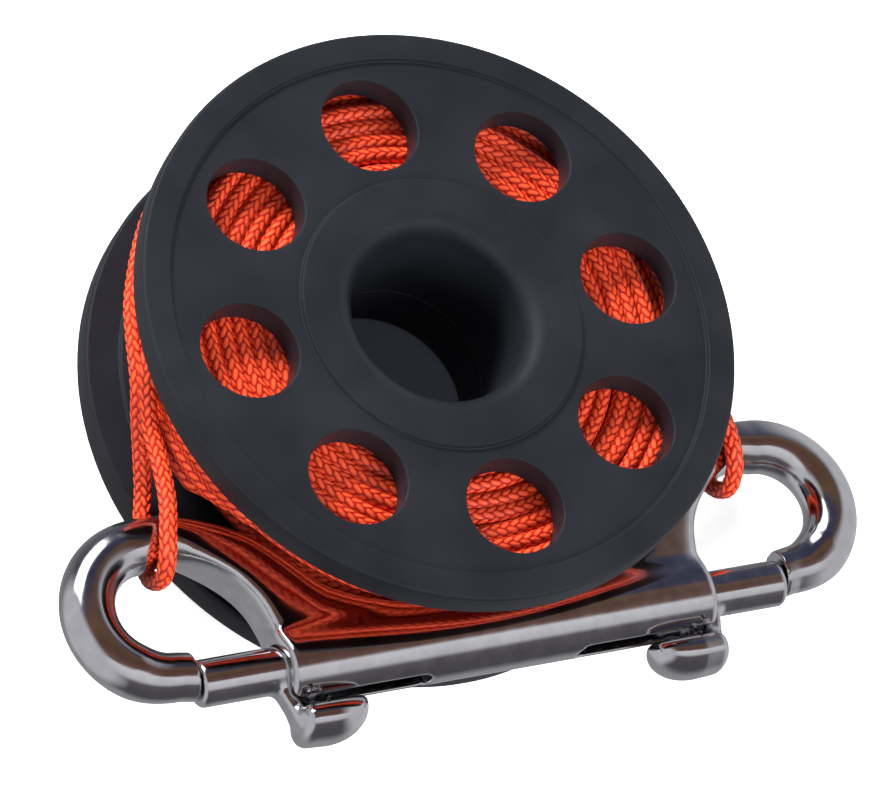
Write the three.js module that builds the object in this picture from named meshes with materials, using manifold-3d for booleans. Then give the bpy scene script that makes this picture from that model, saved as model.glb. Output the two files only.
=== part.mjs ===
// Finger spool: a flanged plastic reel wound with braided line, and the double-ended
// bolt snap that is stored between its flanges, held by the loop at the end of the line.
// Millimetres, +Z up. The reel lies on its rear flange with its axis along Z, and the
// snap lies along X on the -Y side. The origin is under the middle of the rigid pieces' box.

import * as THREE from 'three';
import { mergeVertices } from 'three/addons/utils/BufferGeometryUtils.js';
import Module from 'manifold-3d';

const wasm = await Module();
wasm.setup();

// Clearances shared by the whole part
const seatGap = 0.3;
const runningGap = 0.2;
const cutOverrun = 1;
const mergeTolerance = 1e-4;

// Reel
const flangeRadius = 41;
const spoolWidth = 28.8;
const rimThickness = 4.3;
const discThickness = 4.7;
const faceRecess = 0.6;
const stepRadius = 37;
const stepSlope = 0.3;
const bossRadius = 19.3;
const boreRadius = 12;
const lipRadius = 2.8;
const edgeRadius = 0.55;
const innerStepRadius = 36.2;
const drumWall = 3.6;
const drumFillet = 0.8;
const spigotWall = 1.6;
const spigotLength = 4;
const reelSegments = 48;
const lipSteps = 5;
const edgeSteps = 2;

// Holes through both flanges
const holeCount = 8;
const holeRadius = 6.65;
const holeCircleRadius = 28;
const holeChamfer = 0.3;
const firstHoleAngle = THREE.MathUtils.degToRad(2.2);
const holeSegments = 18;

// Line
const lineDiameter = 2.4;
const rearWindingRadius = 32.6;
const frontWindingRadius = 37.5;
const windingStepLength = 4.5;
const layerTurns = 5;
const layerStartAngle = THREE.MathUtils.degToRad(25.9);
const layerEndAngle = THREE.MathUtils.degToRad(167.6);
const layerSteps = 24;
const layerSides = 6;
const coreSegments = 48;
const coreSteps = 12;
const cordSides = 8;
const cordSteps = 78;

// Snap body
const snapHalfLength = 57.9;
const hookSectionRadius = 3.65;
const hookTipRadius = 3.2;
const hookTipLength = 2;
const hookLift = 1.1;
const hookLength = 26.9;
const eyeRadius = 9.15;
const eyeRise = 0.35;
const spineHalfDepth = 3.8;
const bodyRadius = 5.2;
const bodyEndChamfer = 0.5;
const snapShift = 1.35;
const boltAxisOffset = 38.2;
const snapClearance = 0.3;
const webHalfThickness = 1.5;
const bodySegments = 24;
const slotEndSteps = 6;

// Bolts and springs
const boltRadius = 3.1;
const boltNoseRound = 0.7;
const boltGuideLength = 6;
const boltTravel = 16;
const neckLength = 3.2;
const neckThickness = 3;
const neckInset = 1;
const neckFlare = 2.4;
const neckLean = 2.2;
const knobRadius = 2.7;
const knobHalfWidth = 4.4;
const knobLength = 10.4;
const knobGap = 0.3;
const springWire = 0.55;
const springCoilRadius = 2.1;
const springTurns = 9;
const springSteps = 8;
const springSides = 4;
const noseSteps = 3;
const neckSteps = 5;

// Places worked out from the sizes
const drumRadius = boreRadius + drumWall;
const hookEndX = snapHalfLength - hookSectionRadius;
const eyeX = hookEndX - eyeRadius;
const eyeTop = eyeRise + 2 * eyeRadius;
const hookTipX = eyeX - hookTipLength;
const bodyHalfLength = snapHalfLength - hookLength;
const mouthX = (bodyHalfLength + hookTipX) / 2;
const knobAxisDrop = bodyRadius + knobGap + knobRadius;
const knobReach = knobAxisDrop + knobRadius;
const spoolY = (boltAxisOffset + knobReach - flangeRadius) / 2;
const snapY = spoolY - boltAxisOffset;
const snapZ = discThickness + snapClearance + bodyRadius;
const windingStepStart = snapZ + spineHalfDepth + seatGap;
const midZ = spoolWidth / 2;

// Solids from three.js geometry, joined and cut with manifold
function solidOf(geometry) {
  const bare = geometry.index ? geometry.clone() : mergeVertices(geometry, mergeTolerance);
  for (const name of Object.keys(bare.attributes)) {
    if (name !== 'position') bare.deleteAttribute(name);
  }
  const merged = mergeVertices(bare, mergeTolerance);
  const corners = merged.index.array;
  const kept = [];
  for (let i = 0; i < corners.length; i += 3) {
    const [a, b, c] = corners.slice(i, i + 3);
    if (a !== b && b !== c && c !== a) kept.push(a, b, c);
  }
  return new wasm.Manifold(new wasm.Mesh({
    numProp: 3,
    vertProperties: new Float32Array(merged.attributes.position.array),
    triVerts: new Uint32Array(kept),
  }));
}

function geometryOf(solid) {
  const mesh = solid.getMesh();
  const geometry = new THREE.BufferGeometry();
  geometry.setAttribute('position', new THREE.BufferAttribute(new Float32Array(mesh.vertProperties), 3));
  geometry.setIndex(new THREE.BufferAttribute(new Uint32Array(mesh.triVerts), 1));
  geometry.computeVertexNormals();
  return geometry;
}

// A closed profile of [radius, height] pairs, anticlockwise in the radius-height plane, spun about Z
function revolve(profile, segments) {
  const points = profile.map(([radius, height]) => new THREE.Vector2(radius, height));
  const closed = points[0].x > 0 ? [...points, points[0].clone()] : points;
  return new THREE.LatheGeometry(closed, segments).rotateX(Math.PI / 2);
}

// Points of a round corner from one angle to another, as [radius, height] pairs
function cornerArc(centreRadius, centreHeight, radius, from, to, steps) {
  return Array.from({ length: steps + 1 }, (_, i) => {
    const angle = from + (to - from) * i / steps;
    return [centreRadius + radius * Math.cos(angle), centreHeight + radius * Math.sin(angle)];
  });
}

// A closed skin through rings of points that all have the same count, with a flat cap at each end
function skin(rings) {
  const sides = rings[0].length;
  const positions = rings.flat().flatMap((point) => [point.x, point.y, point.z]);
  const indices = [];
  for (let i = 0; i + 1 < rings.length; i += 1) {
    for (let j = 0; j < sides; j += 1) {
      const a = i * sides + j;
      const b = i * sides + (j + 1) % sides;
      indices.push(a, b, b + sides, a, b + sides, a + sides);
    }
  }
  const last = (rings.length - 1) * sides;
  for (let j = 1; j + 1 < sides; j += 1) {
    indices.push(0, j + 1, j, last, last + j, last + j + 1);
  }
  const geometry = new THREE.BufferGeometry();
  geometry.setAttribute('position', new THREE.Float32BufferAttribute(positions, 3));
  geometry.setIndex(indices);
  geometry.computeVertexNormals();
  return geometry;
}

// A round tube through points, its section carried along without twist
function tube(points, radius, sides) {
  let across = null;
  const rings = points.map((point, i) => {
    const before = points[Math.max(i - 1, 0)];
    const after = points[Math.min(i + 1, points.length - 1)];
    const along = after.clone().sub(before).normalize();
    across ??= Math.abs(along.z) < Math.SQRT1_2 ? new THREE.Vector3(0, 0, 1) : new THREE.Vector3(0, 1, 0);
    across.sub(along.clone().multiplyScalar(across.dot(along))).normalize();
    const side = along.clone().cross(across);
    return Array.from({ length: sides }, (_, j) => {
      const angle = 2 * Math.PI * j / sides;
      return point.clone()
        .addScaledVector(across, radius * Math.cos(angle))
        .addScaledVector(side, radius * Math.sin(angle));
    });
  });
  return skin(rings);
}

// The least gap that a coiled tube leaves to itself, measured between points half a turn or more apart
function selfGap(points, stepsPerTurn, diameter) {
  let least = Infinity;
  for (let i = 0; i < points.length; i += 1) {
    for (let j = i + Math.floor(stepsPerTurn / 2); j < points.length; j += 1) {
      least = Math.min(least, points[i].distanceTo(points[j]));
    }
  }
  return least - diameter;
}

// The winding is low beside the stored snap and full in front of it. Its outside climbs between
// the two over a smooth step, and this is its radius there and how steeply it climbs.
function windingRadiusAt(z) {
  const share = THREE.MathUtils.smoothstep(z, windingStepStart, windingStepStart + windingStepLength);
  return rearWindingRadius + (frontWindingRadius - rearWindingRadius) * share;
}

function windingSlopeAt(z) {
  const share = THREE.MathUtils.clamp((z - windingStepStart) / windingStepLength, 0, 1);
  return 6 * share * (1 - share) * (frontWindingRadius - rearWindingRadius) / windingStepLength;
}

// One moulded half in [radius, depth] pairs, depth measured inwards from its outer face.
// The drum wall ends in a socket or in the spigot that fits it.
function halfProfile(withSpigot) {
  const sleeve = boreRadius + spigotWall;
  const drumEnd = withSpigot ? midZ - seatGap : midZ;
  const tongue = withSpigot
    ? [[sleeve, drumEnd], [sleeve, midZ + spigotLength - seatGap], [boreRadius, midZ + spigotLength - seatGap]]
    : [[sleeve + seatGap, drumEnd], [sleeve + seatGap, midZ - spigotLength], [boreRadius, midZ - spigotLength]];
  return [
    ...cornerArc(boreRadius + lipRadius, lipRadius, lipRadius, Math.PI, 1.5 * Math.PI, lipSteps),
    [bossRadius, 0],
    [bossRadius + stepSlope, faceRecess],
    [stepRadius, faceRecess],
    [stepRadius + stepSlope, 0],
    ...cornerArc(flangeRadius - edgeRadius, edgeRadius, edgeRadius, 1.5 * Math.PI, 2 * Math.PI, edgeSteps),
    ...cornerArc(flangeRadius - edgeRadius, rimThickness - edgeRadius, edgeRadius, 0, Math.PI / 2, edgeSteps),
    [innerStepRadius + stepSlope, rimThickness],
    [innerStepRadius, discThickness],
    ...cornerArc(drumRadius + drumFillet, discThickness + drumFillet, drumFillet, 1.5 * Math.PI, Math.PI, edgeSteps),
    [drumRadius, drumEnd],
    ...tongue,
  ];
}

function holeCutters(startAngle) {
  const flare = holeRadius + holeChamfer + faceRecess + cutOverrun;
  const cutter = revolve([
    [0, -cutOverrun],
    [flare, -cutOverrun],
    [holeRadius, faceRecess + holeChamfer],
    [holeRadius, discThickness + cutOverrun],
    [0, discThickness + cutOverrun],
  ], holeSegments);
  return Array.from({ length: holeCount }, (_, i) => {
    const angle = startAngle + 2 * Math.PI * i / holeCount;
    return solidOf(cutter.clone().translate(
      holeCircleRadius * Math.cos(angle), holeCircleRadius * Math.sin(angle), 0));
  });
}

// The front half is modelled face down and turned over, so its holes run the other way round
function reelHalf(withSpigot) {
  let half = solidOf(revolve(halfProfile(withSpigot), reelSegments));
  for (const cutter of holeCutters(withSpigot ? -firstHoleAngle : firstHoleAngle)) {
    half = half.subtract(cutter);
  }
  return geometryOf(half);
}

// The inner turns, as one plain ring that the outer layer winds over. It stays clear of the layer's
// underside by more where the winding climbs, as the gap is square to the climb.
function lineCore() {
  const top = spoolWidth - discThickness - seatGap;
  const bottom = discThickness + seatGap;
  const sagitta = frontWindingRadius * (1 - Math.cos(Math.PI / layerSteps));
  const underside = Array.from({ length: coreSteps + 1 }, (_, i) => {
    const z = bottom + (top - bottom) * i / coreSteps;
    const depth = (lineDiameter / 2 + seatGap + sagitta) * Math.hypot(1, windingSlopeAt(z));
    return [windingRadiusAt(z) - lineDiameter / 2 - depth, z];
  });
  const inner = drumRadius + seatGap;
  return revolve([
    [inner + drumFillet, bottom],
    ...underside,
    [inner + drumFillet, top],
    [inner, top - drumFillet],
    [inner, bottom + drumFillet],
  ], coreSegments);
}

// The outer layer is one helix from the rear flange to the front one, straight for one line
// diameter at each end
function layerPoints() {
  const top = spoolWidth - discThickness - seatGap - lineDiameter / 2;
  const bottom = discThickness + seatGap + lineDiameter / 2;
  const sweep = layerEndAngle - layerStartAngle + 2 * Math.PI * layerTurns;
  const count = Math.round(layerSteps * sweep / (2 * Math.PI));
  const points = Array.from({ length: count + 1 }, (_, i) => {
    const share = i / count;
    const z = bottom + (top - bottom) * share;
    const angle = layerStartAngle + sweep * share;
    const radius = windingRadiusAt(z) - lineDiameter / 2;
    return new THREE.Vector3(radius * Math.cos(angle), radius * Math.sin(angle), z);
  });
  const lead = new THREE.Vector3(Math.sin(layerStartAngle), -Math.cos(layerStartAngle), 0);
  const tail = new THREE.Vector3(-Math.sin(layerEndAngle), Math.cos(layerEndAngle), 0);
  const first = points[0].clone().addScaledVector(lead, lineDiameter);
  const last = points[count].clone().addScaledVector(tail, lineDiameter);
  return [first, ...points, last];
}

function lineLayer() {
  const points = layerPoints();
  console.log('least gap of the outer layer to itself, mm:', selfGap(points, layerSteps, lineDiameter).toFixed(2));
  return tube(points, lineDiameter / 2, layerSides);
}

// One snap arm runs from the hook's tip round the eye, then as a spine to the middle of the body.
// The spine is a loft between an inner edge, the eye's flat wall, and an outer edge. Each place
// has x as shares of the reach from the body's end to the eye and of the body's half length, and
// y as a share of the height of the eye's top over the hook's tip. The whole arm is lifted a
// little, because the hook's tip lies over the bolt's axis.
const innerEdgeShares = [
  [0.723, 1, 0.837], [0.482, 1, 0.761], [0.241, 1, 0.611], [0.085, 1, 0.429], [0.014, 1, 0.225],
  [0, 0.987, 0.027], [0, 0.871, -0.080], [0, 0.645, -0.107], [0, 0.323, -0.134], [0, 0, -0.134],
];
const outerEdgeShares = [
  [0.638, 1, 1.185], [0.284, 1, 1.089], [0, 0.955, 0.928], [0, 0.826, 0.719], [0, 0.710, 0.515],
  [0, 0.581, 0.386], [0, 0.452, 0.306], [0, 0.307, 0.247], [0, 0.161, 0.212], [0, 0, 0.193],
];
const flatStartShare = 0.06;
const flatRampShare = 0.24;
const spineSamples = 26;
const hookSteps = 14;
const hookSwellSteps = 3;
const armSides = 14;
const roundExponent = 2;
const flatExponent = 7;

function edgeCurve(eyeSide, shares) {
  const places = shares.map(([past, along, up]) => new THREE.Vector3(
    past * (eyeX - bodyHalfLength) + along * bodyHalfLength, up * eyeTop, 0));
  return new THREE.CatmullRomCurve3([new THREE.Vector3(eyeX, eyeTop + eyeSide, 0), ...places], false, 'centripetal');
}

function armStations() {
  const tip = {
    inner: new THREE.Vector3(hookTipX, hookTipRadius, 0),
    outer: new THREE.Vector3(hookTipX, -hookTipRadius, 0),
    deep: hookTipRadius,
    flat: 0,
  };
  const ring = Array.from({ length: hookSteps + 1 }, (_, i) => {
    const angle = -Math.PI / 2 + Math.PI * i / hookSteps;
    const swell = Math.min(1, (i + 1) / hookSwellSteps);
    const section = hookTipRadius + (hookSectionRadius - hookTipRadius) * swell;
    const onRing = (radius) => new THREE.Vector3(
      eyeX + radius * Math.cos(angle), eyeRise + eyeRadius + radius * Math.sin(angle), 0);
    return { inner: onRing(eyeRadius - section), outer: onRing(eyeRadius + section), deep: section, flat: 0 };
  });
  const innerEdge = edgeCurve(-hookSectionRadius, innerEdgeShares);
  const outerEdge = edgeCurve(hookSectionRadius, outerEdgeShares);
  const spine = Array.from({ length: spineSamples }, (_, i) => {
    const t = (i + 1) / spineSamples;
    const flat = THREE.MathUtils.smoothstep(t, flatStartShare, flatStartShare + flatRampShare);
    const deep = hookSectionRadius + (spineHalfDepth - hookSectionRadius) * flat;
    return { inner: innerEdge.getPoint(t), outer: outerEdge.getPoint(t), deep, flat };
  });
  return [tip, ...ring, ...spine];
}

// A section between the two edges, round on the outside and turning from round to flat inside
function armSection({ inner, outer, deep, flat }) {
  const centre = inner.clone().lerp(outer, 0.5);
  const across = outer.clone().sub(centre);
  return Array.from({ length: armSides }, (_, j) => {
    const angle = -2 * Math.PI * (j + 0.5) / armSides;
    const cos = Math.cos(angle);
    const sin = Math.sin(angle);
    const power = cos < 0 ? roundExponent + (flatExponent - roundExponent) * flat : roundExponent;
    const reach = (Math.abs(cos) ** power + Math.abs(sin) ** power) ** (-1 / power);
    return centre.clone().addScaledVector(across, reach * cos).add(new THREE.Vector3(0, 0, deep * reach * sin));
  });
}

// A closed profile of [radius, place along X] pairs spun about the bolt's axis
function turnAboutX(profile, segments) {
  return revolve(profile, segments).rotateY(Math.PI / 2);
}

function snapBody() {
  const barrel = turnAboutX([
    [0, -bodyHalfLength],
    [bodyRadius - bodyEndChamfer, -bodyHalfLength],
    [bodyRadius, -bodyHalfLength + bodyEndChamfer],
    [bodyRadius, bodyHalfLength - bodyEndChamfer],
    [bodyRadius - bodyEndChamfer, bodyHalfLength],
    [0, bodyHalfLength],
  ], bodySegments);
  const borehole = turnAboutX([
    [0, webHalfThickness],
    [boltRadius + runningGap, webHalfThickness],
    [boltRadius + runningGap, mouthX],
    [0, mouthX],
  ], bodySegments);
  const slotHalfWidth = neckThickness / 2 + 2 * runningGap;
  const slotEndX = bodyHalfLength - neckInset - neckLean / 2 - boltTravel - seatGap;
  const slotOutline = new THREE.Shape();
  slotOutline.moveTo(mouthX, -slotHalfWidth);
  slotOutline.lineTo(mouthX, slotHalfWidth);
  slotOutline.lineTo(slotEndX, slotHalfWidth);
  slotOutline.absarc(slotEndX, 0, slotHalfWidth, Math.PI / 2, 1.5 * Math.PI, false);
  const slot = new THREE.ExtrudeGeometry(slotOutline, {
    depth: bodyRadius + cutOverrun, bevelEnabled: false, curveSegments: slotEndSteps,
  }).rotateX(Math.PI / 2);
  let body = solidOf(barrel);
  for (const turn of [0, Math.PI]) {
    body = body.add(solidOf(skin(armStations().map(armSection)).translate(0, hookLift, 0).rotateY(turn)));
  }
  for (const turn of [0, Math.PI]) {
    body = body.subtract(solidOf(borehole.clone().rotateY(turn)));
    body = body.subtract(solidOf(slot.clone().rotateY(turn)));
  }
  return geometryOf(body);
}

// The thumb knob is half a bullet: straight along the barrel, with a round nose towards the middle
// and a blunt end at the neck. Shares are of the knob's radius, and of its length from the nose.
const knobShares = [
  [0.20, 0.00], [0.42, 0.03], [0.66, 0.12], [0.86, 0.30], [0.98, 0.58], [1.00, 0.84], [0.90, 0.97], [0.76, 1.00],
];

function knobRing(wide, place) {
  const half = wide * knobRadius;
  return Array.from({ length: bodySegments }, (_, i) => {
    const angle = 2 * Math.PI * i / bodySegments;
    const y = half * Math.cos(angle) - half - knobGap - bodyRadius;
    return new THREE.Vector3(place, y, wide * knobHalfWidth * Math.sin(angle));
  });
}

function bolt() {
  const tail = bodyHalfLength - boltGuideLength;
  const nose = hookTipX - seatGap;
  const rod = turnAboutX([
    [0, tail],
    [boltRadius - boltNoseRound / 2, tail],
    [boltRadius, tail + boltNoseRound / 2],
    ...cornerArc(boltRadius - boltNoseRound, nose - boltNoseRound, boltNoseRound, 0, Math.PI / 2, noseSteps),
    [0, nose],
  ], bodySegments);
  const inner = bodyHalfLength - neckInset;
  const outer = inner + neckLength;
  const outline = new THREE.Shape();
  outline.moveTo(inner, -boltRadius / 2);
  outline.lineTo(inner - neckLean, -knobAxisDrop);
  outline.lineTo(outer - neckLean, -knobAxisDrop);
  outline.lineTo(outer - neckLean / 2, -boltRadius - neckFlare);
  outline.quadraticCurveTo(outer, -boltRadius, outer + neckFlare, -boltRadius + runningGap);
  outline.lineTo(outer + neckFlare, -boltRadius / 2);
  const neck = new THREE.ExtrudeGeometry(outline, {
    depth: neckThickness, bevelEnabled: false, curveSegments: neckSteps,
  }).translate(0, 0, -neckThickness / 2);
  const knobEnd = outer - neckLean;
  const knob = skin(knobShares.map(([wide, along]) => knobRing(wide, knobEnd + (along - 1) * knobLength)));
  return geometryOf(solidOf(rod).add(solidOf(neck)).add(solidOf(knob)));
}

function spring() {
  const start = webHalfThickness + springWire / 2 + seatGap;
  const end = bodyHalfLength - boltGuideLength - springWire / 2 - seatGap;
  const count = springTurns * springSteps;
  const points = Array.from({ length: count + 1 }, (_, i) => {
    const angle = 2 * Math.PI * i / springSteps;
    return new THREE.Vector3(
      start + (end - start) * i / count, springCoilRadius * Math.cos(angle), springCoilRadius * Math.sin(angle));
  });
  console.log('least gap of a spring to itself, mm:', selfGap(points, springSteps, springWire).toFixed(2));
  return tube(points, springWire / 2, springSides);
}

// The free stretch of line: off the layer's front end, round the left eye, over the top of the
// winding, round the right eye and back to the layer's rear end. Points are [x, y, z].
const lineRoute = [
  [-39.2, 9.35, 22.4], [-40.2, 5.6, 20.3], [-40.3, 2.5, 17.6], [-40.2, -0.2, 15.6], [-40.2, -3.6, 15.1],
  [-40.5, -7.7, 15.1], [-41.1, -11.2, 15.2], [-42.1, -14.6, 15.1], [-42.7, -17.7, 13.8],
  [-42.7, -19.15, 10.2], [-42.7, -17.7, 6.5], [-42.2, -13.4, 5], [-41, -9, 6], [-40, -5.4, 6.9],
  [-39.85, -1.6, 9.5], [-40.2, 2.1, 13.2], [-40.2, 5.7, 16.4], [-39.3, 12.5, 17.9], [-37.9, 17.35, 18.1],
  [-31.15, 29.05, 18.3], [-17.79, 39.31, 18.3], [-1.35, 42.95, 18.3], [15.09, 39.31, 18.3],
  [28.45, 29.05, 18.3], [34.72, 18.62, 18.1], [37.2, 9.5, 17.6], [38.2, 1, 17], [39.3, -6.5, 16.2],
  [40.4, -13.6, 15.6], [40.6, -17.65, 14.1], [40.6, -19.65, 10.2], [40.6, -17.65, 6.2], [40.4, -13.6, 4.8],
  [39.2, -9.2, 5.6], [38, -4.6, 5.95], [32.5, 6.7, 6.15], [28.31, 15.31, 6.2],
];

function lineEndLoop() {
  const route = new THREE.CatmullRomCurve3(lineRoute.map((p) => new THREE.Vector3(...p)), false, 'centripetal');
  const section = new THREE.Shape(Array.from({ length: cordSides }, (_, i) => {
    const angle = 2 * Math.PI * i / cordSides;
    return new THREE.Vector2(Math.cos(angle), Math.sin(angle)).multiplyScalar(lineDiameter / 2);
  }));
  return new THREE.ExtrudeGeometry(section, { steps: cordSteps, extrudePath: route });
}

const blackPlastic = { color: 0x2a2c30, roughness: 0.55, metalness: 0 };
const orangeLine = { color: 0xf0491f, roughness: 0.9, metalness: 0 };
const polishedSteel = { color: 0xc9cacc, roughness: 0.12, metalness: 1 };
const springSteel = { color: 0x9a9c9f, roughness: 0.35, metalness: 1 };

function named(name, geometry, look) {
  const mesh = new THREE.Mesh(geometry, new THREE.MeshStandardMaterial(look));
  mesh.name = name;
  return mesh;
}

const reel = new THREE.Group();
reel.position.set(-snapShift, spoolY, 0);
const frontHalf = named('spool_front_half', reelHalf(true), blackPlastic);
frontHalf.position.z = spoolWidth;
frontHalf.rotation.x = Math.PI;
reel.add(
  frontHalf,
  named('spool_rear_half', reelHalf(false), blackPlastic),
  named('line_core', lineCore(), orangeLine),
  named('line_outer_layer', lineLayer(), orangeLine),
);

const snap = new THREE.Group();
snap.position.set(0, snapY, snapZ);
snap.add(named('snap_body', snapBody(), polishedSteel));
for (const [side, turn] of [['right', 0], ['left', Math.PI]]) {
  const half = new THREE.Group();
  half.rotation.y = turn;
  half.add(named(`bolt_${side}`, bolt(), polishedSteel));
  half.add(named(`spring_${side}`, spring(), springSteel));
  snap.add(half);
}

const finger_spool = new THREE.Group();
finger_spool.add(reel, snap, named('line_end_loop', lineEndLoop(), orangeLine));

export default finger_spool;
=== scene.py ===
"""Finger spool: the looks of a flanged plastic reel wound with orange braided line, and of the
polished double-ended bolt snap that is stored between its flanges. Lengths are in metres."""

import math

import bpy
import numpy as np
from mathutils import Matrix, Vector


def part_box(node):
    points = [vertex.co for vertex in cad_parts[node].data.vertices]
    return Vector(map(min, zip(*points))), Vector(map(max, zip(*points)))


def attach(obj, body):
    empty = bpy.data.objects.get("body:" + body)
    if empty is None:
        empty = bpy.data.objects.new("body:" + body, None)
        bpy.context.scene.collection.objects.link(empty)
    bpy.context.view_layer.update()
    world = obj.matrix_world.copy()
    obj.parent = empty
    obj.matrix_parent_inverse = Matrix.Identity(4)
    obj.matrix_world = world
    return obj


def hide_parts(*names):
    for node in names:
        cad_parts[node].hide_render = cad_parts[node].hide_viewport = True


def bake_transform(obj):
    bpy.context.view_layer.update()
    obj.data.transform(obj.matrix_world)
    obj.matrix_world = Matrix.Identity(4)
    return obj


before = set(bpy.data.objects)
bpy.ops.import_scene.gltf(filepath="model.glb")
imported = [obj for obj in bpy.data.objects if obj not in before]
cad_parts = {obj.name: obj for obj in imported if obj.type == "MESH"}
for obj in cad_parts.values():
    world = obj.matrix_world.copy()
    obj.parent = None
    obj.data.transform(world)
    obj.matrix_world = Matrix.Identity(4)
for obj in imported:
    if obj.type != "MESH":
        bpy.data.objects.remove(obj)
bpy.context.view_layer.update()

mm = 0.001

# Places taken from the frame
reel_low, reel_high = (np.array(corner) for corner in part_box("spool_front_half"))
snap_low, snap_high = (np.array(corner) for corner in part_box("snap_body"))
flange_radius = (reel_high[0] - reel_low[0]) / 2
reel_x, reel_y = (reel_low[:2] + reel_high[:2]) / 2
reel_width = reel_high[2]
mid_z = reel_width / 2
snap_x = (snap_low[0] + snap_high[0]) / 2
bolt_axis_offset = 38.2 * mm
snap_y = reel_y - bolt_axis_offset
snap_z = (snap_low[2] + snap_high[2]) / 2

# Reel
rim_thickness = 4.3 * mm
disc_thickness = 4.7 * mm
face_recess = 0.6 * mm
step_radius = 37 * mm
step_slope = 0.25 * mm
boss_radius = 19.3 * mm
bore_radius = 12 * mm
lip_radius = 2.8 * mm
edge_radius = 0.55 * mm
inner_step_radius = 36.2 * mm
drum_wall = 3.6 * mm
drum_fillet = 0.8 * mm
spigot_wall = 1.6 * mm
spigot_length = 4 * mm
seat_gap = 0.3 * mm
corner_round = 0.18 * mm
hole_count = 8
hole_radius = 6.65 * mm
hole_circle_radius = 28 * mm
hole_round = 0.35 * mm
first_hole_angle = math.radians(2.2)
reel_segments = 288
hole_segments = 96

# Line
line_diameter = 2.4 * mm
rear_winding_radius = 32.6 * mm
front_winding_radius = 37.5 * mm
winding_step_length = 4.5 * mm
snap_side_angle = math.radians(54)
snap_side_fade = math.radians(22)
snap_side_drop = 6.7 * mm
outer_turns = 6
outer_start_angle = math.radians(25.9)
outer_end_angle = math.radians(167.6)
inner_layers = 9
inner_turns = 6
inner_first_radius = 17.2 * mm
layer_dwell = 0.075
layer_shift = 0.37
layer_climb = 0.5
end_turns = 7.6
end_depth = 0.12 * mm
rear_end_phase = 0.6
front_end_phase = 2.2
turn_steps = 96
winding_clearance = 0.15 * mm
wander_waves = ((1, 1.7, 0.4), (0.7, 2.9, 2.1), (0.5, 5.3, 1.3))
inner_wander = (0.25 * mm, 0.35 * mm)
end_wander = (0.3 * mm, 0.12 * mm)
outer_wander = 0.22 * mm
inner_spacing = 0.5 * mm
end_spacing = 0.4 * mm
outer_spacing = 0.3 * mm
loop_spacing = 0.16 * mm
inner_sides = 16
outer_sides = 20
loop_sides = 64
stitch_pitch = 1.5 * mm
stitch_columns = 8
stitch_column_width = math.pi * line_diameter / stitch_columns
stitch_lean = math.radians(30)
stitch_half_length = 0.84 * mm
stitch_half_width = 0.36 * mm
stitch_relief = 0.1 * mm

# The free stretch of line, in millimetres: off the winding's front end, round the left eye, over
# the top of the winding, round the right eye and back to the winding's rear end
line_route = [
    (-39.2, 9.35, 22.4), (-40.2, 5.6, 20.3), (-40.3, 2.5, 17.6), (-40.2, -0.2, 15.6), (-40.2, -3.6, 15.1),
    (-40.5, -7.7, 15.1), (-41.1, -11.2, 15.2), (-42.1, -14.6, 15.1), (-42.7, -17.7, 13.8),
    (-42.7, -19.15, 10.2),
    (-42.7, -17.7, 6.5), (-42.2, -13.4, 5), (-41, -9, 6), (-40, -5.4, 6.9), (-39.85, -1.6, 9.5),
    (-40.2, 2.1, 13.2), (-40.2, 5.7, 16.4), (-39.3, 12.5, 17.9),
    (-37.9, 17.35, 18.1), (-31.15, 29.05, 18.3), (-17.79, 39.31, 18.3), (-1.35, 42.95, 18.3),
    (15.09, 39.31, 18.3), (28.45, 29.05, 18.3), (34.72, 18.62, 18.1), (37.2, 9.5, 17.6), (38.2, 1, 17),
    (39.3, -6.5, 16.2), (40.4, -13.6, 15.6), (40.6, -17.65, 14.1), (40.6, -19.65, 10.2), (40.6, -17.65, 6.2),
    (40.4, -13.6, 4.8), (39.2, -9.2, 5.6), (38, -4.6, 5.95), (32.5, 6.7, 6.15), (28.31, 15.31, 6.2),
]

# Snap body
snap_half_length = 57.9 * mm
hook_section_radius = 3.65 * mm
hook_tip_radius = 3.2 * mm
hook_tip_length = 2 * mm
hook_lift = 1.1 * mm
hook_length = 26.9 * mm
eye_radius = 9.15 * mm
eye_rise = 0.35 * mm
spine_half_depth = 3.8 * mm
body_radius = 5.2 * mm
body_end_round = 0.9 * mm
web_half_thickness = 1.5 * mm
casting_blend = 1.1 * mm
edge_blend = 0.25 * mm
casting_step = 0.32 * mm

# Bolts and springs
bolt_radius = 3.1 * mm
bolt_nose_round = 0.7 * mm
bolt_guide_length = 6 * mm
bolt_travel = 16 * mm
running_gap = 0.2 * mm
neck_length = 3.2 * mm
neck_thickness = 3 * mm
neck_inset = 1 * mm
neck_lean = 2.2 * mm
neck_blend = 0.9 * mm
neck_edge = 0.5 * mm
knob_radius = 2.7 * mm
knob_half_width = 4.4 * mm
knob_length = 10.4 * mm
knob_gap = 0.3 * mm
knob_nose_share = 0.62
knob_end_taper = 0.12
knob_end_round = 1.3 * mm
knob_blend = 1.2 * mm
bolt_step = 0.26 * mm
spring_wire = 0.55 * mm
spring_coil_radius = 2.1 * mm
spring_turns = 9
spring_steps = 32
spring_sides = 12

eye_x = snap_half_length - hook_section_radius - eye_radius
eye_top = eye_rise + 2 * eye_radius
hook_tip_x = eye_x - hook_tip_length
body_half_length = snap_half_length - hook_length
mouth_x = (body_half_length + hook_tip_x) / 2
winding_end = disc_thickness + winding_clearance + line_diameter / 2
under_outer = 1.5 * line_diameter
winding_step_start = snap_z + spine_half_depth + seat_gap
neck_end = body_half_length - neck_inset + neck_length
knob_start = neck_end - neck_lean - knob_length


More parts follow.
